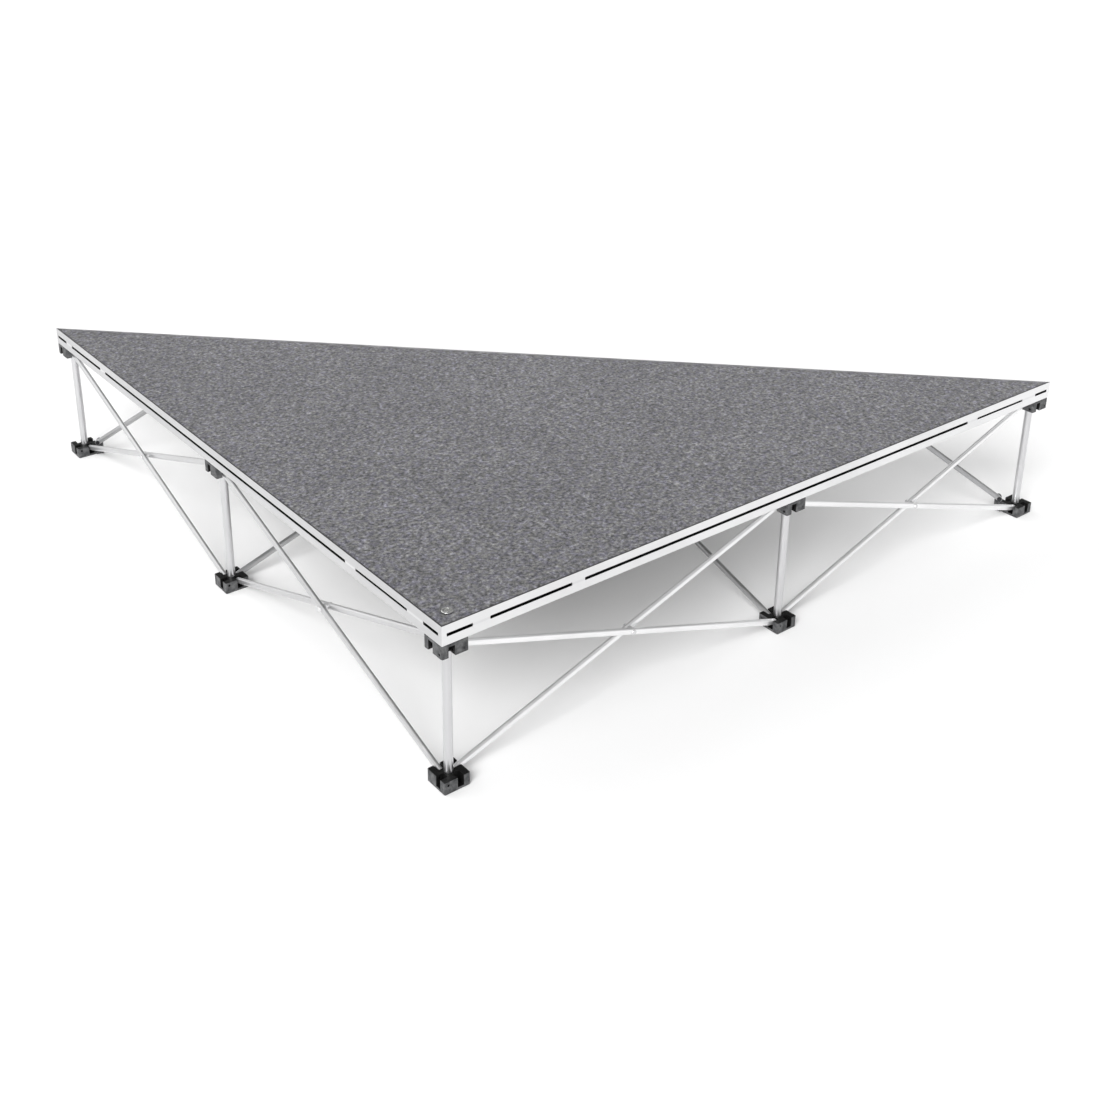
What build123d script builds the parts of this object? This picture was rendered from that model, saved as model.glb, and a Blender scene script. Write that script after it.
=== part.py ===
"""Triangular stage platform on a folding scissor riser.

The deck is a right-angled triangle: a carpeted panel in a mitred aluminium frame.
The riser below it is a lattice of crossed arms between six pairs of square hubs.
The origin is the centre of the sole of the front foot, +X follows the right leg of
the triangle, +Y follows the left leg and +Z is up. All sizes are in millimetres.
"""

import math
import os

from build123d import *

os.makedirs("parts", exist_ok=True)

# ---------------------------------------------------------------- driving dimensions
side = 1000.0               # length of each leg of the deck
height = 200.0              # floor to the walking surface

deck_thickness = 23.0       # height of the frame rails
carpet_thickness = 2.6
carpet_recess = 0.4         # carpet lies this far below the lip of the rail
panel_thickness = 12.0

rail_width = 25.0           # inward, at the bottom flange
rail_wall = 6.0             # solid outer wall that carries the groove
rail_skin = 2.0             # top and bottom walls of the hollow flange
rail_web = 2.5              # side walls of the hollow flange
rail_lip = 1.6              # thin edge that borders the carpet
rail_edge_radius = 0.5
groove_height = 2.8
groove_depth = 4.0
groove_end = 6.0            # groove stops this far from each corner
block_rail = 1000.0         # rail length that the infill blocks are spaced for
block_starts = (37.0, 162.0, 820.0, 939.0)      # on that rail, from the corner
block_lengths = (21.0, 17.0, 21.0, 29.0)

hub_size = 32.0
hub_height = 15.0
hub_edge_radius = 2.0
hub_edge_chamfer = 0.8
hub_web = 4.0               # closed wall at the outer face of a hub
slot_floor = 3.0            # bottom of a slot above the hub's outer face
slot_side_gap = 1.0         # between an arm and each wall of its slot

post_diameter = 10.0
post_wall = 1.0

arm_depth = 8.0             # flat-oval tube, in the plane of the scissor
arm_thickness = 6.0
arm_wall = 1.0
arm_spacing = 2.4           # between the two arms of a bay
arm_end_gap = 2.0           # between an arm's end and a post or a hub's top
pin_diameter = 3.0
pivot_depth = 11.0          # pivot from the hub's outer face
pin_embed = 3.0             # pin reaches this far past the hub's axis plane
rivet_head_diameter = 6.5
rivet_head_height = 1.2
washer_diameter = 8.0

prop_angle = 35.0           # rise of a rail prop in degrees
prop_pivot_gap = 1.4        # pivot past the corner of the hub
prop_pivot_in = 4.5         # centre plane of a prop, inward from the long edge
prop_tip_length = 14.0
prop_tip_wall = 1.0
shoe_wall = 2.5
shoe_depth = 4.0            # shoe covers the hub's corner this far back from the pivot
ear_thickness = 3.0
ear_width = 9.0

lock_from_edge = 21.5       # centre of the lock from both legs of the deck
lock_head_diameter = 8.0
lock_head_height = 6.0
lock_head_recess = 0.4
lock_shank_diameter = 5.0
lock_shank_reach = 2.7      # below the top face of the hub
lock_key_size = 4.0
lock_key_depth = 3.0
cup_flange_diameter = 12.0
cup_flange_height = 1.0
cup_wall = 1.0
cup_floor = 1.5

screw_diameter = 4.0
screw_head_diameter = 7.5
screw_head_height = 2.2
screw_bite = 8.0            # thread length inside the panel
screw_end_margin = 100.0
screws_per_rail = 4

cleat_reach = 70.0          # length of a corner cleat's arms from its corner

running_gap = 0.1           # radial, pins in hub bores
press_gap = 0.05            # radial, pins in their own arm
fit_gap = 0.15              # posts, cups and screws in their seats
seat_gap = 0.3              # between the deck and the riser

# ---------------------------------------------------------------- worked-out places
overhang = hub_size / 2
lock_place = (lock_from_edge - overhang, lock_from_edge - overhang)
pitch = (side - 2 * overhang) / 2
deck_bottom = height - deck_thickness
ledge_height = deck_thickness - carpet_recess - carpet_thickness - panel_thickness
hub_top = deck_bottom - seat_gap
lower_pivot = pivot_depth
upper_pivot = hub_top - pivot_depth
pin_length = hub_size / 2 + pin_embed
pin_inset = post_diameter / 2 + arm_end_gap + arm_depth / 2     # pivot from the hub's axis
slot_width = arm_thickness + 2 * slot_side_gap
slot_offset = (arm_thickness + arm_spacing) / 2     # centre of an arm from the hub's axis
prop_pivot_out = hub_size / math.sqrt(2) + prop_pivot_gap
prop_pivot_height = hub_height + arm_end_gap + arm_depth / 2
prop_nose_radius = arm_depth / 2 + prop_tip_wall

stations = {
    "front": (0.0, 0.0),
    "right_middle": (pitch, 0.0),
    "right_end": (2 * pitch, 0.0),
    "left_middle": (0.0, pitch),
    "left_end": (0.0, 2 * pitch),
    "rear_middle": (pitch, pitch),
}

# name of a bay, its first hub, its second hub
bays = (
    ("right_inner", "front", "right_middle"),
    ("right_outer", "right_middle", "right_end"),
    ("left_inner", "front", "left_middle"),
    ("left_outer", "left_middle", "left_end"),
    ("cross_right", "right_middle", "rear_middle"),
    ("cross_left", "left_middle", "rear_middle"),
)

deck_corners = (
    Vector(-overhang, -overhang),
    Vector(side - overhang, -overhang),
    Vector(-overhang, side - overhang),
)
long_edge = side * math.sqrt(2)
inradius = (2 * side - long_edge) / 2
deck_centre = Vector(inradius - overhang, inradius - overhang)


def rail_frame(index):
    """Start point, length, direction and inward normal of one side of the deck."""
    start = deck_corners[index]
    end = deck_corners[(index + 1) % 3]
    along = (end - start).normalized()
    inward = Vector(-along.Y, along.X)
    return start, (end - start).length, along, inward


def screw_points(index):
    """Places of the panel screws along one rail, on the middle of the panel ledge."""
    start, length, along, inward = rail_frame(index)
    margin = screw_end_margin * length / side
    step = (length - 2 * margin) / (screws_per_rail - 1)
    inset = (rail_wall + rail_width) / 2
    return [start + along * (margin + i * step) + inward * inset for i in range(screws_per_rail)]


def deck_outline(inset):
    """Triangle of the deck, drawn in from its outer edge."""
    with BuildSketch() as outline:
        with BuildLine():
            Polyline(*deck_corners, close=True)
        make_face()
        if inset > 0:
            offset(amount=-inset, kind=Kind.INTERSECTION)
    return outline.sketch


all_screw_points = [point for index in range(3) for point in screw_points(index)]


# ---------------------------------------------------------------- deck frame
rail_names = ("rail_right", "rail_long", "rail_left")
for rail_index, rail_name in enumerate(rail_names):
    start, length, along, inward = rail_frame(rail_index)
    lift = Vector(0, 0, deck_bottom)
    with BuildPart() as rail:
        # hollow flange below, solid grooved wall above, thin lip round the carpet
        with BuildSketch(Plane(start + lift, x_dir=inward, z_dir=along)):
            with BuildLine():
                Polyline(
                    (0, 0),
                    (rail_width, 0),
                    (rail_width, ledge_height),
                    (rail_wall, ledge_height),
                    (rail_wall, ledge_height + panel_thickness),
                    (rail_lip, ledge_height + panel_thickness),
                    (rail_lip, deck_thickness),
                    (0, deck_thickness),
                    close=True,
                )
            outline = make_face()
            fillet(outline.vertices().group_by(Axis.X)[0], radius=rail_edge_radius)
            with Locations((rail_width / 2, ledge_height / 2)):
                Rectangle(rail_width - 2 * rail_web, ledge_height - 2 * rail_skin, mode=Mode.SUBTRACT)
        extrude(amount=length)
        with BuildSketch(Plane(start + lift + along * groove_end, x_dir=inward, z_dir=along)):
            with Locations((groove_depth / 2, deck_thickness / 2)):
                Rectangle(groove_depth, groove_height)
        extrude(amount=length - 2 * groove_end, mode=Mode.SUBTRACT)
        # mitres: the rail keeps to the third of the deck between two corners
        with BuildSketch(Plane.XY.offset(deck_bottom)):
            with BuildLine():
                Polyline(start, start + along * length, deck_centre, close=True)
            make_face()
        extrude(amount=deck_thickness, mode=Mode.INTERSECT)
        # access bore below and screw bore above for each panel screw
        with BuildSketch(Plane.XY.offset(deck_bottom)):
            with Locations(*screw_points(rail_index)):
                Circle(screw_head_diameter / 2 + 4 * fit_gap)
        extrude(amount=ledge_height - rail_skin, mode=Mode.SUBTRACT)
        with BuildSketch(Plane.XY.offset(deck_bottom)):
            with Locations(*screw_points(rail_index)):
                Circle(screw_diameter / 2 + fit_gap)
        extrude(amount=ledge_height, mode=Mode.SUBTRACT)
        # bore of the corner lock
        if rail_name != "rail_long":
            with BuildSketch(Plane.XY.offset(deck_bottom)):
                with Locations(lock_place):
                    Circle(lock_shank_diameter / 2 + fit_gap)
            extrude(amount=ledge_height, mode=Mode.SUBTRACT)
    rail.part.label = rail_name
    export_step(rail.part, f"parts/{rail_name}.step")

# blocks that fill the groove over the frame's inner fixings
with BuildPart() as groove_blocks:
    for rail_index in range(3):
        start, length, along, inward = rail_frame(rail_index)
        for block_start, block_length in zip(block_starts, block_lengths):
            middle = start + along * ((block_start + block_length / 2) * length / block_rail)
            middle = middle + inward * (groove_depth / 2)
            block_plane = Plane(middle + Vector(0, 0, deck_bottom + deck_thickness / 2), x_dir=along)
            with Locations(block_plane):
                Box(block_length, groove_depth, groove_height)
groove_blocks.part.label = "groove_blocks"
export_step(groove_blocks.part, "parts/groove_blocks.step")

# cleats inside the hollow flanges that tie the rails together at the corners
with BuildPart() as corner_cleats:
    cleat_skin = rail_web + fit_gap
    for corner in deck_corners:
        with BuildSketch(Plane.XY.offset(deck_bottom + rail_skin + fit_gap)):
            add(deck_outline(cleat_skin))
            add(deck_outline(rail_width - cleat_skin), mode=Mode.SUBTRACT)
            with Locations(corner):
                Circle(cleat_reach, mode=Mode.INTERSECT)
        extrude(amount=ledge_height - 2 * rail_skin - 2 * fit_gap)
    with BuildSketch(Plane.XY.offset(deck_bottom)):
        with Locations(lock_place):
            Circle(lock_shank_diameter / 2 + fit_gap)
    extrude(amount=ledge_height, mode=Mode.SUBTRACT)
corner_cleats.part.label = "corner_cleats"
export_step(corner_cleats.part, "parts/corner_cleats.step")

# ---------------------------------------------------------------- deck panel and carpet
panel_bottom = deck_bottom + ledge_height
panel_top = panel_bottom + panel_thickness
cup_radius = lock_head_diameter / 2 + fit_gap + cup_wall

with BuildPart() as deck_panel:
    with BuildSketch(Plane.XY.offset(panel_bottom)):
        add(deck_outline(rail_wall + fit_gap))
        with Locations(lock_place):
            Circle(cup_radius + fit_gap, mode=Mode.SUBTRACT)
    extrude(amount=panel_thickness)
    with BuildSketch(Plane.XY.offset(panel_bottom)):
        with Locations(*all_screw_points):
            Circle(screw_diameter / 2 + press_gap)
    extrude(amount=screw_bite + fit_gap, mode=Mode.SUBTRACT)
deck_panel.part.label = "deck_panel"
export_step(deck_panel.part, "parts/deck_panel.step")

with BuildPart() as carpet:
    with BuildSketch(Plane.XY.offset(panel_top)):
        add(deck_outline(rail_lip + fit_gap))
        with Locations(lock_place):
            Circle(cup_flange_diameter / 2 + fit_gap, mode=Mode.SUBTRACT)
    extrude(amount=carpet_thickness)
carpet.part.label = "carpet"
export_step(carpet.part, "parts/carpet.step")

# pan-head screws up through the ledge of each rail into the panel
with BuildPart() as panel_screws:
    screw_seat = panel_bottom - rail_skin
    with BuildSketch(Plane.XY.offset(screw_seat - screw_head_height)):
        with Locations(*all_screw_points):
            Circle(screw_head_diameter / 2)
    extrude(amount=screw_head_height)
    with BuildSketch(Plane.XY.offset(screw_seat)):
        with Locations(*all_screw_points):
            Circle(screw_diameter / 2)
    extrude(amount=rail_skin + screw_bite)
panel_screws.part.label = "panel_screws"
export_step(panel_screws.part, "parts/panel_screws.step")

# ---------------------------------------------------------------- corner lock
lock_plane = Plane((*lock_place, 0))
cup_depth = lock_head_height + lock_head_recess + cup_floor
with BuildPart() as lock_cup:
    with BuildSketch(lock_plane.offset(height - cup_depth)):
        Circle(cup_radius)
    extrude(amount=cup_depth)
    with BuildSketch(lock_plane.offset(height - cup_flange_height)):
        Circle(cup_flange_diameter / 2)
    extrude(amount=cup_flange_height)
    with BuildSketch(lock_plane.offset(height - cup_depth + cup_floor)):
        Circle(lock_head_diameter / 2 + fit_gap)
    extrude(amount=cup_depth, mode=Mode.SUBTRACT)
    with BuildSketch(lock_plane.offset(height - cup_depth)):
        Circle(lock_shank_diameter / 2 + fit_gap)
    extrude(amount=cup_floor, mode=Mode.SUBTRACT)
    chamfer(lock_cup.edges().group_by(Axis.Z)[-1].sort_by(SortBy.RADIUS)[-1], 0.4)
lock_cup.part.label = "lock_cup"
export_step(lock_cup.part, "parts/lock_cup.step")

lock_head_top = height - lock_head_recess
lock_shank_bottom = hub_top - lock_shank_reach
with BuildPart() as lock_screw:
    with BuildSketch(lock_plane.offset(lock_head_top - lock_head_height)):
        Circle(lock_head_diameter / 2)
    extrude(amount=lock_head_height)
    chamfer(lock_screw.edges().group_by(Axis.Z)[-1], 0.5)
    with BuildSketch(lock_plane.offset(lock_shank_bottom)):
        Circle(lock_shank_diameter / 2)
    extrude(amount=lock_head_top - lock_head_height - lock_shank_bottom)
    with BuildSketch(lock_plane.offset(lock_head_top - lock_key_depth)):
        RegularPolygon(lock_key_size / 2, 6, major_radius=False)
    extrude(amount=lock_key_depth, mode=Mode.SUBTRACT)
lock_screw.part.label = "lock_screw"
export_step(lock_screw.part, "parts/lock_screw.step")

# ---------------------------------------------------------------- hubs
socket_radius = post_diameter / 2 + fit_gap
slot_inner = pin_inset - arm_depth / 2 - 3 * fit_gap

# one moulding, used upright as a foot and upside down under the deck
with BuildPart() as hub:
    Box(hub_size, hub_size, hub_height, align=(Align.CENTER, Align.CENTER, Align.MIN))
    fillet(hub.edges().filter_by(Axis.Z), radius=hub_edge_radius)
    chamfer(hub.faces().sort_by(Axis.Z)[0].edges(), length=hub_edge_chamfer)
    with BuildSketch(Plane.XY.offset(hub_web)):
        Circle(socket_radius)
    extrude(amount=hub_height, mode=Mode.SUBTRACT)
    for quarter in range(4):
        side_plane = Plane.XY.rotated((0, 0, 90 * quarter))
        with BuildSketch(side_plane.offset(slot_floor)):
            with Locations(((slot_inner + hub_size) / 2, slot_offset)):
                Rectangle(hub_size - slot_inner, slot_width)
        extrude(amount=hub_height, mode=Mode.SUBTRACT)
        pin_point = side_plane.from_local_coords(Vector(pin_inset, hub_size / 2, pivot_depth))
        with BuildSketch(Plane(pin_point, z_dir=side_plane.y_dir)):
            Circle(pin_diameter / 2 + running_gap)
        extrude(amount=-(pin_length + fit_gap), mode=Mode.SUBTRACT)

for station, (x, y) in stations.items():
    with BuildPart() as foot_hub:
        with Locations((x, y, 0)):
            add(hub.part)
    foot_hub.part.label = f"foot_hub_{station}"
    export_step(foot_hub.part, f"parts/foot_hub_{station}.step")

    with BuildPart() as top_hub:
        with Locations(Location((x, y, hub_top), (180, 0, 0))):
            add(hub.part)
        if station == "front":
            # bore for the corner lock
            with BuildSketch(lock_plane.offset(hub_top - hub_web)):
                Circle(lock_shank_diameter / 2 + fit_gap)
            extrude(amount=hub_web, mode=Mode.SUBTRACT)
    top_hub.part.label = f"top_hub_{station}"
    export_step(top_hub.part, f"parts/top_hub_{station}.step")

# ---------------------------------------------------------------- posts
post_bottom = hub_web + seat_gap
post_top = hub_top - hub_web
for station, (x, y) in stations.items():
    with BuildPart() as post:
        with BuildSketch(Plane.XY.offset(post_bottom)):
            with Locations((x, y)):
                Circle(post_diameter / 2)
                Circle(post_diameter / 2 - post_wall, mode=Mode.SUBTRACT)
        extrude(amount=post_top - post_bottom)
    post.part.label = f"post_{station}"
    export_step(post.part, f"parts/post_{station}.step")

# ---------------------------------------------------------------- scissor arms and pins
def flat_oval_bar(plane, start, end, inset):
    """Solid bar of the arms' flat-oval section, drawn in by an inset, along a plane's X."""
    section_plane = Plane(plane.origin, x_dir=plane.y_dir, z_dir=plane.x_dir)
    with BuildPart() as bar:
        with BuildSketch(section_plane.offset(start)):
            SlotOverall(arm_depth - 2 * inset, arm_thickness - 2 * inset)
        extrude(amount=end - start)
    return bar.part


washer_height = arm_spacing - 2 * running_gap
for bay, first, second in bays:
    first_point = Vector(*stations[first])
    second_point = Vector(*stations[second])
    along = (second_point - first_point).normalized()
    # planes of the two arms lie either side of the bay's centre plane
    lateral = Vector(0, 1, 0) if along.X > 0.5 else Vector(-1, 0, 0)
    near = first_point + along * pin_inset
    far = second_point - along * pin_inset
    arms = {
        "down": (-1, near + Vector(0, 0, upper_pivot), far + Vector(0, 0, lower_pivot)),
        "up": (1, near + Vector(0, 0, lower_pivot), far + Vector(0, 0, upper_pivot)),
    }
    for way, (slot_side, arm_start, arm_end) in arms.items():
        arm_length = (arm_end - arm_start).length
        centre_plane = Plane(arm_start, x_dir=arm_end - arm_start, z_dir=lateral)
        arm_plane = centre_plane.offset(slot_side * slot_offset)
        rivet_gap = press_gap if way == "down" else running_gap

        with BuildPart() as arm:
            with BuildSketch(arm_plane):
                with Locations((arm_length / 2, 0)):
                    SlotCenterToCenter(arm_length, arm_depth)
                with Locations((0, 0), (arm_length, 0)):
                    Circle(pin_diameter / 2 + press_gap, mode=Mode.SUBTRACT)
                with Locations((arm_length / 2, 0)):
                    Circle(pin_diameter / 2 + rivet_gap, mode=Mode.SUBTRACT)
            extrude(amount=arm_thickness / 2, both=True)
            bar_end = arm_length + arm_depth
            add(flat_oval_bar(arm_plane, -arm_depth, bar_end, 0), mode=Mode.INTERSECT)
            add(flat_oval_bar(arm_plane, -arm_depth, bar_end, arm_wall), mode=Mode.SUBTRACT)
        arm.part.label = f"arm_{way}_{bay}"
        export_step(arm.part, f"parts/arm_{way}_{bay}.step")

        with BuildPart() as pins:
            with BuildSketch(centre_plane.offset(-slot_side * pin_embed)):
                with Locations((0, 0), (arm_length, 0)):
                    Circle(pin_diameter / 2)
            extrude(amount=slot_side * pin_length)
            if way == "down":
                # centre rivet with a head outside each arm and a washer between them
                head_seat = slot_offset + arm_thickness / 2 + running_gap
                with BuildSketch(centre_plane.offset(-head_seat)):
                    with Locations((arm_length / 2, 0)):
                        Circle(pin_diameter / 2)
                extrude(amount=2 * head_seat)
                for head_side in (-1, 1):
                    with BuildSketch(centre_plane.offset(head_side * head_seat)):
                        with Locations((arm_length / 2, 0)):
                            Circle(rivet_head_diameter / 2)
                    extrude(amount=head_side * rivet_head_height, taper=20)
                with BuildSketch(centre_plane):
                    with Locations((arm_length / 2, 0)):
                        Circle(washer_diameter / 2)
                extrude(amount=washer_height / 2, both=True)
        pins.part.label = f"pins_{way}_{bay}"
        export_step(pins.part, f"parts/pins_{way}_{bay}.step")

# ---------------------------------------------------------------- props under the long rail
nose_height = hub_top - prop_nose_radius
prop_length = (nose_height - prop_pivot_height) / math.sin(math.radians(prop_angle))
for station, inward_side in (("left_end", -1), ("right_end", 1)):
    x, y = stations[station]
    toward = (Vector(*stations["rear_middle"]) - Vector(x, y)).normalized()
    hub_plane = Plane((x, y, 0), x_dir=toward, z_dir=(0, 0, 1))
    inward = hub_plane.y_dir * inward_side
    rise = math.radians(prop_angle)
    slope = toward * math.cos(rise) + Vector(0, 0, math.sin(rise))
    ear_middle = prop_pivot_in - arm_thickness / 2 - running_gap - ear_thickness / 2
    pivot = Vector(x, y, prop_pivot_height) + toward * prop_pivot_out
    prop_plane = Plane(pivot + inward * prop_pivot_in, x_dir=slope, z_dir=inward)
    upright_plane = Plane(Vector(x, y, 0) + inward * ear_middle, x_dir=toward, z_dir=inward)
    up_sign = 1 if upright_plane.y_dir.Z > 0 else -1

    with BuildPart() as shoe:
        shoe_bottom = hub_edge_chamfer
        shoe_top = hub_height - hub_edge_chamfer
        # corner of a square sleeve round the hub
        with BuildSketch(hub_plane.offset(shoe_bottom)):
            Rectangle(hub_size + 2 * shoe_wall, hub_size + 2 * shoe_wall, rotation=45)
            with Locations((prop_pivot_out - shoe_depth, 0)):
                Rectangle(hub_size, 2 * hub_size, align=(Align.MIN, Align.CENTER), mode=Mode.INTERSECT)
        extrude(amount=shoe_top - shoe_bottom)
        # upright ear that carries the prop's pin
        with BuildSketch(upright_plane):
            with Locations((prop_pivot_out, up_sign * (shoe_bottom + prop_pivot_height) / 2)):
                Rectangle(ear_width, prop_pivot_height - shoe_bottom)
            with Locations((prop_pivot_out, up_sign * prop_pivot_height)):
                Circle(ear_width / 2)
        extrude(amount=ear_thickness / 2, both=True)
        with BuildSketch(upright_plane):
            with Locations((prop_pivot_out, up_sign * prop_pivot_height)):
                Circle(pin_diameter / 2 + running_gap)
        extrude(amount=ear_thickness, both=True, mode=Mode.SUBTRACT)
        with BuildSketch(hub_plane):
            Rectangle(hub_size + 2 * press_gap, hub_size + 2 * press_gap, rotation=45)
        extrude(amount=hub_height + press_gap, mode=Mode.SUBTRACT)
    shoe.part.label = f"prop_shoe_{station}"
    export_step(shoe.part, f"parts/prop_shoe_{station}.step")

    tube_length = prop_length - prop_tip_wall
    with BuildPart() as prop:
        with BuildSketch(prop_plane):
            Circle(arm_depth / 2)
            with Locations((tube_length / 2, 0)):
                Rectangle(tube_length, arm_depth)
            Circle(pin_diameter / 2 + press_gap, mode=Mode.SUBTRACT)
        extrude(amount=arm_thickness / 2, both=True)
        add(flat_oval_bar(prop_plane, -arm_depth, prop_length, 0), mode=Mode.INTERSECT)
        add(flat_oval_bar(prop_plane, -arm_depth, prop_length, arm_wall), mode=Mode.SUBTRACT)
    prop.part.label = f"prop_{station}"
    export_step(prop.part, f"parts/prop_{station}.step")

    with BuildPart() as tip:
        with BuildSketch(prop_plane):
            with Locations((prop_length, 0)):
                Circle(prop_nose_radius)
            with Locations((prop_length - prop_tip_length / 2, 0)):
                Rectangle(prop_tip_length, 2 * prop_nose_radius)
        extrude(amount=arm_thickness / 2 + prop_tip_wall, both=True)
        add(flat_oval_bar(prop_plane, 0, tube_length, -press_gap), mode=Mode.SUBTRACT)
    tip.part.label = f"prop_tip_{station}"
    export_step(tip.part, f"parts/prop_tip_{station}.step")

    with BuildPart() as prop_pin:
        pin_start = ear_middle - ear_thickness / 2 - running_gap - prop_pivot_in
        pin_end = arm_thickness / 2 + running_gap
        with BuildSketch(prop_plane.offset(pin_start)):
            Circle(pin_diameter / 2)
        extrude(amount=pin_end - pin_start)
        for head_place, head_side in ((pin_start, -1), (pin_end, 1)):
            with BuildSketch(prop_plane.offset(head_place)):
                Circle(rivet_head_diameter / 2)
            extrude(amount=head_side * rivet_head_height, taper=20)
    prop_pin.part.label = f"prop_pin_{station}"
    export_step(prop_pin.part, f"parts/prop_pin_{station}.step")

print("pitch", pitch)
print("arm length between pivots", arm_length)
print("rest angle of an arm", math.degrees(math.atan2(upper_pivot - lower_pivot, pitch - 2 * pin_inset)))
print("prop length", prop_length)
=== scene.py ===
"""Triangular carpeted stage deck on a folding scissor riser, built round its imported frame."""

import math

import bmesh
import bpy
import numpy as np
from mathutils import Matrix, Vector


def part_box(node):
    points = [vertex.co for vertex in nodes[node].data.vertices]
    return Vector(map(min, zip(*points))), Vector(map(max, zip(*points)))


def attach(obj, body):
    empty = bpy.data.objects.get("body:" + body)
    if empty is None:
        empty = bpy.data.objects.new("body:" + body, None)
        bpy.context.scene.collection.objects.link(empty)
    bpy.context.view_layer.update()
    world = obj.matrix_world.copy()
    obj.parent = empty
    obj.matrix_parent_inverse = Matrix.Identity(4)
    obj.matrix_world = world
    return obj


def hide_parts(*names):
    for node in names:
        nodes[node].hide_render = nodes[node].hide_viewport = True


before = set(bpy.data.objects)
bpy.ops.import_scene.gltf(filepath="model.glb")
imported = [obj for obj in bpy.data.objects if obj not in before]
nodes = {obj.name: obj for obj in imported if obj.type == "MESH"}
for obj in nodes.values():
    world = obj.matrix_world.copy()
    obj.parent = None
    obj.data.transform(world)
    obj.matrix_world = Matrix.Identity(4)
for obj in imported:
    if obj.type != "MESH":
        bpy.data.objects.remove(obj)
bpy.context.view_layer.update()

# ---------------------------------------------------------------- camera
# Standing height view over the right-angled corner of the deck, a little from the
# left, with a small downward shift that keeps the posts nearly upright.
scene = bpy.context.scene
camera_place = Vector((-0.67012, -0.99994, 0.95765))
camera_azimuth = math.radians(38.52)
camera_elevation = math.radians(21.78)
camera_roll = math.radians(0.663)

camera_data = bpy.data.cameras.new("camera")
camera_data.sensor_width = 36.0
camera_data.lens = 46.94
camera_data.shift_y = -0.182
camera = bpy.data.objects.new("camera", camera_data)
scene.collection.objects.link(camera)
camera.matrix_world = (
    Matrix.Translation(camera_place)
    @ Matrix.Rotation(-camera_azimuth, 4, "Z")
    @ Matrix.Rotation(math.pi / 2 - camera_elevation, 4, "X")
    @ Matrix.Rotation(camera_roll, 4, "Z")
)
scene.camera = camera

# ---------------------------------------------------------------- dome
# A white surround, at full strength near the horizon and fading to a third above it,
# so that the background stays white while most of the light comes from the lamps.
scene.view_settings.view_transform = "Standard"
scene.view_settings.look = "None"

fade_start, fade_end = 0.10, 0.30
horizon_strength, zenith_strength = 1.0, 0.34

dome = bpy.data.worlds.new("dome")
dome.use_nodes = True
dome_light = dome.node_tree.nodes["Background"]
dome_light.inputs["Color"].default_value = (1.0, 1.0, 1.0, 1.0)
sky_way = dome.node_tree.nodes.new("ShaderNodeTexCoord")
sky_height = dome.node_tree.nodes.new("ShaderNodeSeparateXYZ")
sky_fade = dome.node_tree.nodes.new("ShaderNodeMapRange")
fade_values = (fade_start, fade_end, horizon_strength, zenith_strength)
for socket, value in enumerate(fade_values, start=1):
    sky_fade.inputs[socket].default_value = value
dome.node_tree.links.new(sky_way.outputs["Object"], sky_height.inputs["Vector"])
dome.node_tree.links.new(sky_height.outputs["Z"], sky_fade.inputs["Value"])
dome.node_tree.links.new(sky_fade.outputs["Result"], dome_light.inputs["Strength"])
scene.world = dome


# ---------------------------------------------------------------- lamps
# A soft key and a broad low fill from the front left, and a fill from the rear left:
# the left floor stays bright and the shadow gathers under the right leg and beyond.
def far_light(name, azimuth, height, width, power):
    """Distant light from an azimuth and height in degrees, as a disc of the given width."""
    data = bpy.data.lights.new(name, "SUN")
    data.energy = power
    data.angle = math.radians(width)
    light = bpy.data.objects.new(name, data)
    turn, rise = math.radians(azimuth), math.radians(height)
    level = math.cos(rise)
    way = Vector((level * math.cos(turn), level * math.sin(turn), math.sin(rise)))
    light.rotation_euler = way.to_track_quat("Z", "Y").to_euler()
    scene.collection.objects.link(light)


far_light("front_key", azimuth=214.0, height=35.0, width=36.0, power=2.85)
far_light("front_fill", azimuth=210.0, height=25.0, width=60.0, power=1.0)
far_light("rear_fill", azimuth=120.0, height=35.0, width=60.0, power=0.85)

# ---------------------------------------------------------------- floor
# A white painted sweep, matt all over. It goes with the front foot, so that the riser
# is seen standing on it folded or open.
sweep_edge = 60.0
sweep_mesh = bpy.data.meshes.new("sweep")
sweep_corners = [
    (x * sweep_edge, y * sweep_edge, 0.0) for x, y in ((-1, -1), (1, -1), (1, 1), (-1, 1))
]
sweep_mesh.from_pydata(sweep_corners, [], [(0, 1, 2, 3)])
sweep = bpy.data.objects.new("sweep", sweep_mesh)
scene.collection.objects.link(sweep)
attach(sweep, "foot_front")

sweep_paint = bpy.data.materials.new("sweep_paint")
sweep_paint.use_nodes = True
sweep_shader = sweep_paint.node_tree.nodes["Principled BSDF"]
sweep_shader.inputs["Base Color"].default_value = (0.93, 0.93, 0.93, 1.0)
sweep_shader.inputs["Roughness"].default_value = 0.9
sweep_shader.inputs["Specular IOR Level"].default_value = 0.0
sweep_mesh.materials.append(sweep_paint)

# ---------------------------------------------------------------- carpet
# Needle-punched ribless carpet, charcoal fibre with paler and faintly violet and
# olive strands, glued to the panel and cut just inside the lip of the rails, with a
# round hole for the corner lock.
carpet_low, carpet_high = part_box("carpet")
lock_low, lock_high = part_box("lock_cup")
lock_middle = (lock_low + lock_high) / 2
carpet_leg = carpet_high.x - carpet_low.x
carpet_steps = 402
carpet_pitch = carpet_leg / carpet_steps
hole_gap = 0.0001
hole_cells = 3
hole_blend_cells = 5
nap_depth = 0.0005
nap_grain, nap_grain_share, nap_grain_seed = 1.1, 0.8, 11
nap_drift, nap_drift_share, nap_drift_seed = 9.0, 0.2, 12
nap_contrast = 0.7
nap_level = 0.6
shoulder_width = 0.0035
shoulder_drop = 0.0009


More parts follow.
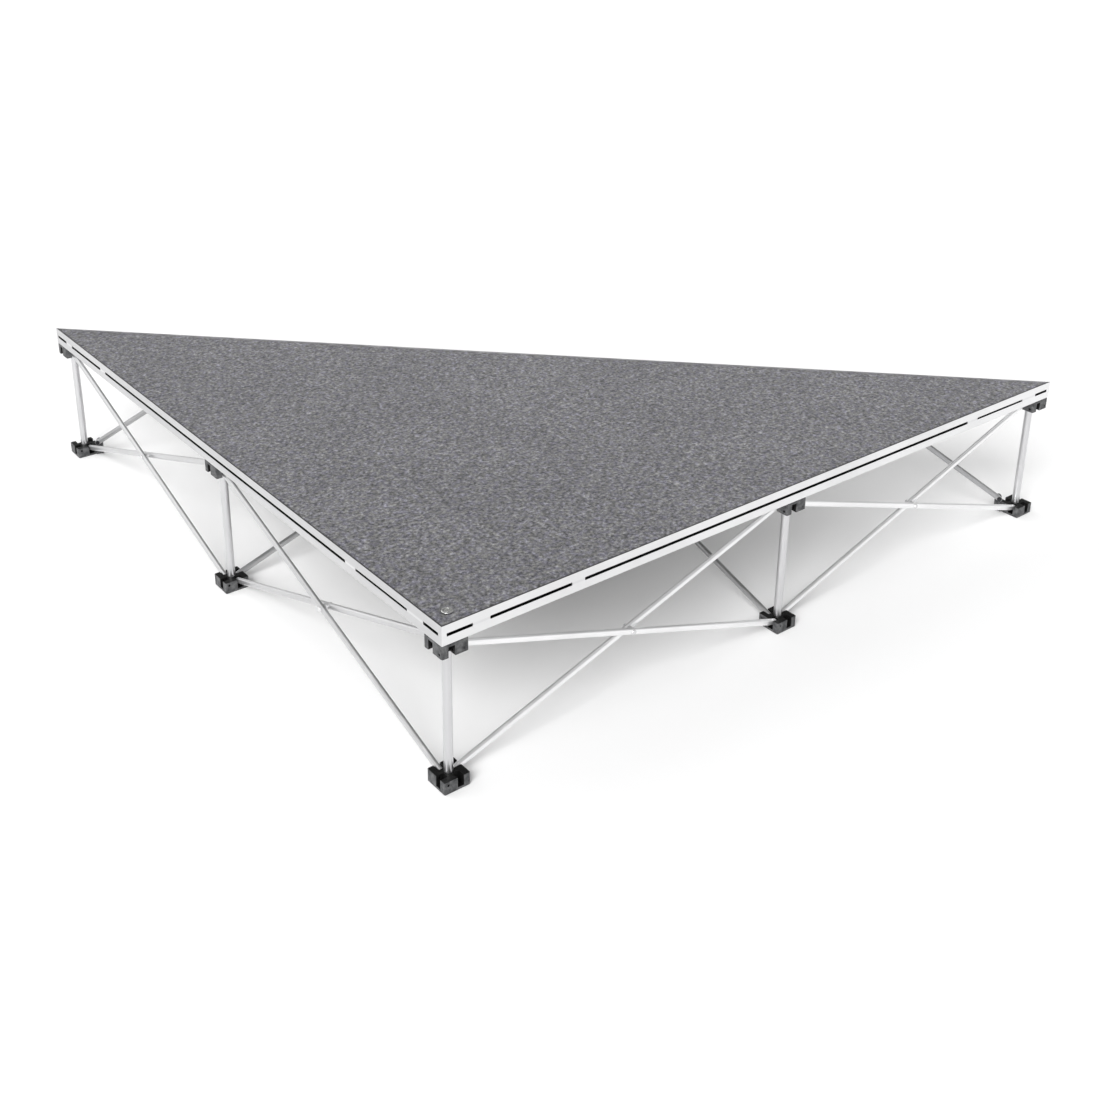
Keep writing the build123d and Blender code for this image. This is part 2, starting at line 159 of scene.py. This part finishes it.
def smooth_noise(count, width, seed):
    """White noise on a square grid, blurred by a Gaussian of the given width in grid
    steps through its Fourier transform, and scaled to a spread of one."""
    noise = np.random.default_rng(seed).standard_normal((count, count))
    wave = np.fft.fftfreq(count)
    falloff = np.exp(-2 * (math.pi * width) ** 2 * (wave[:, None] ** 2 + wave[None, :] ** 2))
    field = np.real(np.fft.ifft2(np.fft.fft2(noise) * falloff))
    return field / field.std()


def wall_below(points, faces, underside):
    """The rim is each side from a to b that no face has from b to a. Copies of its points
    lie at the height of the underside, and each side of the rim gives one quad with the
    two copies below it."""
    sides = [np.stack([f, np.roll(f, -1, axis=1)], axis=-1).reshape(-1, 2) for f in faces]
    sides = np.concatenate(sides)
    ahead, back = sides @ (len(points), 1), sides @ (1, len(points))
    rim = sides[~np.isin(ahead, back)]
    rim_points, place = np.unique(rim, return_inverse=True)
    lower = points[rim_points] * (1.0, 1.0, 0.0) + (0.0, 0.0, underside)
    below = len(points) + place.reshape(rim.shape)
    return lower, np.stack([rim[:, 1], rim[:, 0], below[:, 0], below[:, 1]], axis=-1)


def carpet_mesh():
    """Surface over a right triangle: x = low + i p and y = low + j p for i + j <= n.
    Near the lock the square rings of the grid are pulled onto circles. The height is
    the pile's top, less a drop that grows as the square of the nearness to an edge, plus
    blurred noise for the nap."""
    count = carpet_steps + 1
    i, j = np.meshgrid(np.arange(count), np.arange(count), indexing="ij")
    a = i - round((lock_middle.x - carpet_low.x) / carpet_pitch)
    b = j - round((lock_middle.y - carpet_low.y) / carpet_pitch)
    ring = np.maximum(np.abs(a), np.abs(b))
    reach = np.maximum(np.hypot(a, b), 1e-9)
    blend = np.clip((ring - hole_cells) / (hole_blend_cells - hole_cells), 0, 1)
    hole_radius = (lock_high.x - lock_low.x) / 2 + hole_gap
    circle = hole_radius * ring / hole_cells / reach
    x = blend * (carpet_low.x + i * carpet_pitch) + (1 - blend) * (lock_middle.x + a * circle)
    y = blend * (carpet_low.y + j * carpet_pitch) + (1 - blend) * (lock_middle.y + b * circle)

    to_legs = np.minimum(x - carpet_low.x, y - carpet_low.y)
    to_long_edge = (carpet_high.x + carpet_low.y - x - y) / math.sqrt(2)
    to_hole = np.hypot(x - lock_middle.x, y - lock_middle.y) - hole_radius
    edge = np.minimum(np.minimum(to_legs, to_long_edge), to_hole)
    shoulder = 1 - np.clip(edge / shoulder_width, 0, 1)
    nap = (
        smooth_noise(count, nap_grain, nap_grain_seed) * nap_grain_share
        + smooth_noise(count, nap_drift, nap_drift_seed) * nap_drift_share
    )
    fall = nap_depth * (np.tanh(nap * nap_contrast) - nap_level) * (1 - shoulder)
    z = carpet_high.z - shoulder_drop * shoulder**2 + fall

    inside = (i + j <= carpet_steps) & (ring >= hole_cells)
    index = np.full(i.shape, -1)
    index[inside] = np.arange(inside.sum())
    points = np.stack([x, y, z], axis=-1)[inside]
    low, right, up, far = index[:-1, :-1], index[1:, :-1], index[:-1, 1:], index[1:, 1:]
    three = (low >= 0) & (right >= 0) & (up >= 0)
    whole = three & (far >= 0)
    corner = three & (far < 0) & (i + j == carpet_steps - 1)[:-1, :-1]
    quads = np.stack([low[whole], right[whole], far[whole], up[whole]], axis=-1)
    corners = np.stack([low[corner], right[corner], up[corner]], axis=-1)
    lower, wall = wall_below(points, (quads, corners), carpet_low.z)
    mesh = bpy.data.meshes.new("carpet_pile")
    faces = quads.tolist() + corners.tolist() + wall.tolist()
    mesh.from_pydata(np.concatenate([points, lower]).tolist(), [], faces)
    return mesh


def close_below(mesh):
    """Fills the flat opening under the wall with triangles, round the lock's hole."""
    shell = bmesh.new()
    shell.from_mesh(mesh)
    lower_rim = [e for e in shell.edges if e.is_boundary]
    bmesh.ops.triangle_fill(shell, edges=lower_rim, use_beauty=False)
    bmesh.ops.recalc_face_normals(shell, faces=shell.faces)
    shell.to_mesh(mesh)
    shell.free()


pile = carpet_mesh()
close_below(pile)
carpet = bpy.data.objects.new("carpet_pile", pile)
scene.collection.objects.link(carpet)
pile.shade_smooth()


class Recipe:
    """A node material under construction: each call adds one node and joins it up."""

    def __init__(self, name):
        self.material = bpy.data.materials.new(name)
        self.material.use_nodes = True
        self.tree = self.material.node_tree
        self.shader = self.tree.nodes["Principled BSDF"]
        self.place = self.tree.nodes.new("ShaderNodeTexCoord").outputs["Object"]

    def node(self, kind, inputs=None, **settings):
        """One node with its settings, and each input from a value or a link."""
        made = self.tree.nodes.new(kind)
        for key, value in settings.items():
            setattr(made, key, value)
        for key, value in (inputs or {}).items():
            if isinstance(value, bpy.types.NodeSocket):
                self.tree.links.new(value, made.inputs[key])
            else:
                made.inputs[key].default_value = value
        return made

    def noise(self, scale, detail=2.0, roughness=0.5, place=None):
        """Noise from 0 to 1 with a number of features to the metre."""
        inputs = {"Vector": place or self.place, "Scale": scale}
        inputs.update({"Detail": detail, "Roughness": roughness})
        return self.node("ShaderNodeTexNoise", inputs).outputs["Fac"]

    def ramp(self, value, *stops):
        """Colour read off a row of (position, colour) stops."""
        made = self.node("ShaderNodeValToRGB", {"Fac": value})
        elements = made.color_ramp.elements
        while len(elements) < len(stops):
            elements.new(0.5)
        for element, (position, colour) in zip(elements, stops):
            element.position = position
            element.color = (*colour, 1.0)
        return made.outputs["Color"]

    def mix(self, share, first, second, way="MIX"):
        """Two colours mixed by a share of the second."""
        colours = [c if isinstance(c, bpy.types.NodeSocket) else (*c, 1.0) for c in (first, second)]
        inputs = {0: share, 6: colours[0], 7: colours[1]}
        return self.node("ShaderNodeMix", inputs, data_type="RGBA", blend_type=way).outputs[2]

    def between(self, value, low, high, to_low, to_high):
        """A value in one range carried to another, and held at its ends."""
        inputs = {0: value, 1: low, 2: high, 3: to_low, 4: to_high}
        return self.node("ShaderNodeMapRange", inputs).outputs["Result"]

    def maths(self, way, *values, **settings):
        """Arithmetic on up to three values."""
        inputs = dict(enumerate(values))
        return self.node("ShaderNodeMath", inputs, operation=way, **settings).outputs[0]

    def along(self, direction):
        """Distance from the origin along a direction, p.d."""
        inputs = {0: self.place, 1: direction}
        return self.node("ShaderNodeVectorMath", inputs, operation="DOT_PRODUCT").outputs["Value"]

    def parts(self):
        """The x, y and z of the place."""
        return self.node("ShaderNodeSeparateXYZ", {0: self.place}).outputs

    def stretched(self, direction, share):
        """Object coordinates pressed together along a direction, p - (1 - share)(p.d)d, so
        that a pattern read from them is drawn out along it."""
        less = self.maths("MULTIPLY", self.along(direction), share - 1.0)
        step = self.node("ShaderNodeVectorMath", {0: direction, "Scale": less}, operation="SCALE")
        inputs = {0: self.place, 1: step.outputs[0]}
        return self.node("ShaderNodeVectorMath", inputs, operation="ADD").outputs[0]

    def bump(self, height, strength, distance, normal=None):
        """A normal tilted by a height, on top of another where one is given."""
        inputs = {"Height": height, "Strength": strength, "Distance": distance}
        if normal is not None:
            inputs["Normal"] = normal
        return self.node("ShaderNodeBump", inputs).outputs["Normal"]

    def set(self, **values):
        """Sets sockets of the shader by name, with _ for a space, from a value or a link."""
        for key, value in values.items():
            socket = self.shader.inputs[key.replace("_", " ")]
            if isinstance(value, bpy.types.NodeSocket):
                self.tree.links.new(value, socket)
            elif isinstance(value, tuple):
                socket.default_value = (*value, 1.0)
            else:
                socket.default_value = value
        return self.material


fibre = Recipe("charcoal_carpet")
tufts = fibre.noise(250.0, detail=3.0, roughness=0.7)
clumps = fibre.noise(95.0, detail=2.0, roughness=0.6)
strands = fibre.noise(900.0, detail=2.0)
drift = fibre.noise(9.0, detail=4.0, roughness=0.6)
tint = fibre.noise(140.0, detail=2.0)
grey = fibre.ramp(
    tufts,
    (0.34, (0.046, 0.046, 0.049)),
    (0.47, (0.130, 0.129, 0.137)),
    (0.56, (0.196, 0.194, 0.205)),
    (0.68, (0.32, 0.32, 0.335)),
)
clump_shade = fibre.ramp(clumps, (0.34, (0.74, 0.74, 0.74)), (0.66, (1.22, 1.22, 1.22)))
violet_to_olive = fibre.ramp(
    tint,
    (0.36, (0.45, 0.44, 0.55)),
    (0.50, (0.5, 0.5, 0.505)),
    (0.64, (0.52, 0.52, 0.45)),
)
worn = fibre.ramp(drift, (0.36, (0.86, 0.86, 0.87)), (0.64, (1.0, 1.0, 1.0)))
clumped = fibre.mix(1.0, grey, clump_shade, "MULTIPLY")
coloured = fibre.mix(0.6, clumped, violet_to_olive, "OVERLAY")
pile.materials.append(
    fibre.set(
        Base_Color=fibre.mix(1.0, coloured, worn, "MULTIPLY"),
        Roughness=0.95,
        Specular_IOR_Level=0.15,
        Sheen_Weight=0.12,
        Sheen_Roughness=0.6,
        Normal=fibre.bump(strands, 0.6, 0.0009, fibre.bump(tufts, 0.8, 0.0016)),
    )
)
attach(carpet, "deck")
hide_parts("carpet")


# ---------------------------------------------------------------- rails
# Extruded aluminium edge rails, mitred at the corners and satin anodised, with fine
# lines from the die and a few duller touches. Each has a groove, painted black inside
# and a little way round its rim as painted shade, and a thin lip round the carpet,
# whose top on the two legs is painted dark grey as the shade along the carpet's edge.
# The left rail is painted darker than the right as painted shade.
along_x = (1.0, 0.0, 0.0)
along_y = (0.0, 1.0, 0.0)
half = math.sqrt(0.5)
# painted shade: the black inside the groove and round its rim
groove_painted_shade = (0.012, 0.012, 0.013)
# painted shade along the carpet's edge, on the top of the lip of the two legs
lip_painted_shade = (0.11, 0.11, 0.112)
bare_lip = (0.62, 0.62, 0.625)
groove_end = 0.006
groove_floor_start, groove_floor_end = 0.0042, 0.0046
groove_half_height = 0.00142
rim_half_height = 0.0018
rim_skin_start, rim_skin_end = 0.0001, 0.0002
lip_top_start, lip_top_end = 0.0001, 0.0003
block_gap = 0.0004
block_depth = 0.005
block_spacing = 0.1


def finish_with(material, *names):
    """Gives the named frame pieces one material in place of their packed one."""
    for name in names:
        mesh = nodes[name].data
        mesh.materials.clear()
        mesh.materials.append(material)


def corner_points(name):
    """Every point of a frame piece, as rows of x, y and z."""
    vertices = nodes[name].data.vertices
    flat = np.empty(len(vertices) * 3, np.float32)
    vertices.foreach_get("co", flat)
    return flat.reshape(-1, 3).astype(float)


def groove_and_lip(metal, body, rail, direction, outward, lip):
    """Painted shade: black inside the groove and a little way round its rim, which is
    where the height above the middle is small and the depth behind the face is less than
    the groove's. The rim stays bare beside a block and past the groove's ends. The top of
    the lip, the highest part of the rail, has the colour given as lip, which on the two
    legs is a painted shade along the carpet's edge."""
    points = corner_points(rail)
    blocks = corner_points("groove_blocks")
    face = float((points @ outward).max())
    top = float(points[:, 2].max())
    middle = float(points[:, 2].min() + top) / 2
    reach = points @ direction
    on_rail = np.sort((blocks @ direction)[blocks @ outward > face - block_depth])
    spans = np.split(on_rail, np.flatnonzero(np.diff(on_rail) > block_spacing) + 1)

    run = metal.along(direction)
    open_middle = float(reach.min() + reach.max()) / 2
    open_half = float(reach.max() - reach.min()) / 2 - groove_end
    rim = metal.maths("COMPARE", run, open_middle, open_half)
    for span in spans:
        block_middle = float(span[0] + span[-1]) / 2
        block_half = float(span[-1] - span[0]) / 2 + block_gap
        beside = metal.maths("COMPARE", run, block_middle, block_half)
        rim = metal.maths("SUBTRACT", rim, beside, use_clamp=True)

    out = metal.along(outward)
    high = metal.parts()["Z"]
    half_height = metal.between(rim, 0.0, 1.0, groove_half_height, rim_half_height)
    level = metal.maths("COMPARE", high, middle, half_height)
    shallow = metal.between(out, face - groove_floor_end, face - groove_floor_start, 0.0, 1.0)
    behind = metal.between(out, face - rim_skin_end, face - rim_skin_start, 1.0, 0.0)
    painted = metal.maths("MAXIMUM", behind, rim)
    inside = metal.maths("MULTIPLY", metal.maths("MULTIPLY", shallow, level), painted)
    on_top = metal.between(high, top - lip_top_end, top - lip_top_start, 0.0, 1.0)
    return metal.mix(inside, metal.mix(on_top, body, lip), groove_painted_shade)


def anodised(name, direction, shade, roughness=0.36, metallic=1.0, rail_ways=None):
    """Satin anodised metal drawn out along a direction. A rail's own name, outward way
    and lip colour add its groove and lip."""
    metal = Recipe(name)
    lines = metal.noise(900.0, detail=3.0, place=metal.stretched(direction, 0.004))
    bands = metal.noise(120.0, detail=2.0, place=metal.stretched(direction, 0.02))
    cloud = metal.noise(9.0, detail=3.0)
    touches = metal.noise(46.0, detail=4.0, roughness=0.6)
    pale = tuple(min(1.0, c * 1.02) for c in shade)
    dull = tuple(c * 0.95 for c in shade)
    body = metal.ramp(cloud, (0.38, dull), (0.60, pale))
    band_shade = metal.ramp(bands, (0.42, (0.35, 0.35, 0.36)), (0.58, (0.65, 0.65, 0.65)))
    colour = metal.mix(0.10, body, band_shade, "OVERLAY")
    if rail_ways:
        rail, outward, lip = rail_ways
        colour = groove_and_lip(metal, colour, rail, direction, outward, lip)
    return metal.set(
        Base_Color=colour,
        Metallic=metallic,
        Roughness=metal.between(touches, 0.42, 0.72, roughness, roughness + 0.12),
        Normal=metal.bump(lines, 0.10, 0.0002),
    )


# The rails are one anodising; the left rail's darker shade is painted shade.
for rail, direction, outward, shade, lip in (
    ("rail_right", along_x, (0.0, -1.0, 0.0), (0.82, 0.82, 0.825), lip_painted_shade),
    ("rail_left", along_y, (-1.0, 0.0, 0.0), (0.64, 0.64, 0.645), lip_painted_shade),
    ("rail_long", (-half, half, 0.0), (half, half, 0.0), (0.80, 0.80, 0.805), bare_lip),
):
    ways = (rail, outward, lip)
    finish_with(anodised(f"{rail}_anodised", direction, shade, rail_ways=ways), rail)

# ---------------------------------------------------------------- groove blocks
# Short aluminium blocks pressed into the groove over the frame's inner fixings, flush
# with the rail's face and anodised with it.
upright = (0.0, 0.0, 1.0)
block_shade = (0.76, 0.76, 0.765)
finish_with(anodised("groove_block_anodised", upright, block_shade), "groove_blocks")

# ---------------------------------------------------------------- deck panel
# Birch plywood faced with a grey phenolic film, whose fine woven print and scuffs show
# from below. The panel drops into the frame from above and is screwed to the flange.
film = Recipe("film_faced_plywood")
weave = film.noise(700.0, detail=2.0, roughness=0.5)
scuffs = film.noise(30.0, detail=5.0, roughness=0.62, place=film.stretched(along_x, 0.25))
film_grey = film.ramp(
    scuffs,
    (0.32, (0.17, 0.168, 0.166)),
    (0.52, (0.21, 0.208, 0.206)),
    (0.72, (0.26, 0.258, 0.256)),
)
finish_with(
    film.set(
        Base_Color=film_grey,
        Roughness=film.between(scuffs, 0.3, 0.7, 0.48, 0.66),
        Normal=film.bump(weave, 0.3, 0.0003),
    ),
    "deck_panel",
)


# ---------------------------------------------------------------- panel screws and cleats
# Countersunk screws up through the flange into the panel, and corner cleats inside the
# hollow rails, all in bright zinc plate with a slight crystalline mottle.
def plated(name, shade, roughness):
    """Plated steel: a mottle that runs between a shade and a seventh darker."""
    steel = Recipe(name)
    mottle = steel.noise(260.0, detail=4.0, roughness=0.6)
    dark = tuple(c * 0.86 for c in shade)
    return steel.set(
        Base_Color=steel.ramp(mottle, (0.3, dark), (0.7, shade)),
        Metallic=1.0,
        Roughness=steel.between(mottle, 0.3, 0.7, roughness, roughness + 0.12),
        Normal=steel.bump(steel.noise(1400.0, detail=1.0), 0.08, 0.0002),
    )


finish_with(plated("zinc_plate", (0.66, 0.67, 0.68), 0.30), "panel_screws", "corner_cleats")

# ---------------------------------------------------------------- corner lock
# Screw and cup that hold the deck down at the right-angled corner, in polished nickel
# plate, let into the panel through the carpet.
finish_with(plated("lock_nickel", (0.80, 0.80, 0.79), 0.22), "lock_cup", "lock_screw")

# ---------------------------------------------------------------- hubs and shoes
# Black nylon mouldings. The four outer faces are a spark-eroded grey; inside them, the
# channels and the tops within a thin grey rim are painted near black as painted shade
# in the recesses. Each hub stands at a whole number of pitches, so the distance to the
# nearest multiple of the pitch tells a face from a channel.
hub_low, hub_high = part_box("foot_hub_front")
half_pitch = (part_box("foot_hub_right_middle")[0].x - hub_low.x) / 2
hub_skin_start, hub_skin_end = 0.0004, 0.0009
# painted shade in the channels and on the tops of the hubs
channel_painted_shade = (0.006, 0.006, 0.006)

nylon = Recipe("black_nylon")
erode = nylon.noise(1500.0, detail=3.0, roughness=0.7)
flow = nylon.noise(150.0, detail=4.0, roughness=0.6)
from_hub_x = nylon.maths("PINGPONG", nylon.parts()["X"], half_pitch)
from_hub_y = nylon.maths("PINGPONG", nylon.parts()["Y"], half_pitch)
from_hub = nylon.maths("MAXIMUM", from_hub_x, from_hub_y)
skin_bottom, skin_top = hub_high.x - hub_skin_end, hub_high.x - hub_skin_start
on_face = nylon.between(from_hub, skin_bottom, skin_top, 0.0, 1.0)
face_grey = nylon.ramp(
    flow,
    (0.34, (0.040, 0.041, 0.043)),
    (0.50, (0.075, 0.076, 0.078)),
    (0.66, (0.125, 0.126, 0.128)),
)
finish_with(
    nylon.set(
        Base_Color=nylon.mix(on_face, channel_painted_shade, face_grey),
        Roughness=nylon.between(erode, 0.3, 0.7, 0.42, 0.60),
        Specular_IOR_Level=0.15,
        Normal=nylon.bump(erode, 0.35, 0.0003),
    ),
    *[n for n in nodes if n.startswith(("foot_hub_", "top_hub_", "prop_shoe_"))],
)

# ---------------------------------------------------------------- posts
# Round drawn aluminium tube, satin anodised a shade darker than the rails, fixed in the
# top hub and sliding in the socket of the foot hub.
post_shade = (0.66, 0.66, 0.67)
finish_with(
    anodised("post_tube", upright, post_shade, roughness=0.30),
    *[n for n in nodes if n.startswith("post_")],
)

# ---------------------------------------------------------------- arms and props
# Flat-oval drawn aluminium tube, crossed in pairs between the hubs, with one short
# prop under each end of the long edge. Draw lines run along each tube. All are one
# finish in lit and shaded copies: the left arms, the crossing arms and the props are
# painted darker than the right arms as painted shade.
right_painted_light = (0.90, 0.90, 0.905)
left_painted_shade = (0.60, 0.60, 0.605)
cross_painted_shade = (0.46, 0.46, 0.465)
prop_painted_shade = (0.42, 0.42, 0.425)


def tube_direction(name):
    """Unit vector along a straight tube: the way in which its points spread most, which
    is the first right singular vector of their offsets from their mean."""
    points = corner_points(name)
    spread = points - points.mean(axis=0)
    return tuple(float(c) for c in np.linalg.svd(spread, full_matrices=False)[2][0])


for name in sorted(nodes):
    if name.startswith("arm_") and "_cross_" in name:
        shade = cross_painted_shade
    elif name.startswith("arm_"):
        shade = left_painted_shade if "_left_" in name else right_painted_light
    elif name in ("prop_left_end", "prop_right_end"):
        shade = prop_painted_shade
    else:
        continue
    way = tube_direction(name)
    finish_with(anodised(f"{name}_tube", way, shade, roughness=0.28, metallic=0.9), name)

# ---------------------------------------------------------------- pins and rivets
# Pivot pins of blackened steel in the hubs, and pale rivets where two arms cross, which
# are told apart by their height between the foot hubs and the top hubs.
foot_pin_top, rivet_low = 0.030, 0.034
rivet_high, top_pin_low = 0.142, 0.146
rivet_shade = (0.66, 0.66, 0.665)

steel = Recipe("pins_and_rivets")
oxide = steel.noise(300.0, detail=3.0)
height = steel.parts()["Z"]
above_foot = steel.between(height, foot_pin_top, rivet_low, 0.0, 1.0)
below_top = steel.between(height, rivet_high, top_pin_low, 1.0, 0.0)
is_rivet = steel.maths("MULTIPLY", above_foot, below_top)
oxide_colour = steel.ramp(oxide, (0.35, (0.035, 0.035, 0.037)), (0.65, (0.070, 0.070, 0.073)))
finish_with(
    steel.set(
        Base_Color=steel.mix(is_rivet, oxide_colour, rivet_shade),
        Metallic=steel.between(is_rivet, 0.0, 1.0, 1.0, 0.6),
        Roughness=steel.between(oxide, 0.3, 0.7, 0.34, 0.48),
        Normal=steel.bump(oxide, 0.1, 0.0002),
    ),
    *[n for n in nodes if n.startswith(("pins_", "prop_pin_"))],
)

# ---------------------------------------------------------------- prop tips
# Moulded rubber caps pushed over the upper ends of the two props, matt and a little
# dusty.
rubber = Recipe("tip_rubber")
dust = rubber.noise(300.0, detail=3.0)
finish_with(
    rubber.set(
        Base_Color=rubber.ramp(dust, (0.4, (0.030, 0.030, 0.030)), (0.75, (0.060, 0.058, 0.055))),
        Roughness=rubber.between(dust, 0.3, 0.7, 0.70, 0.88),
        Normal=rubber.bump(dust, 0.3, 0.0004),
    ),
    *[n for n in nodes if n.startswith("prop_tip_")],
)
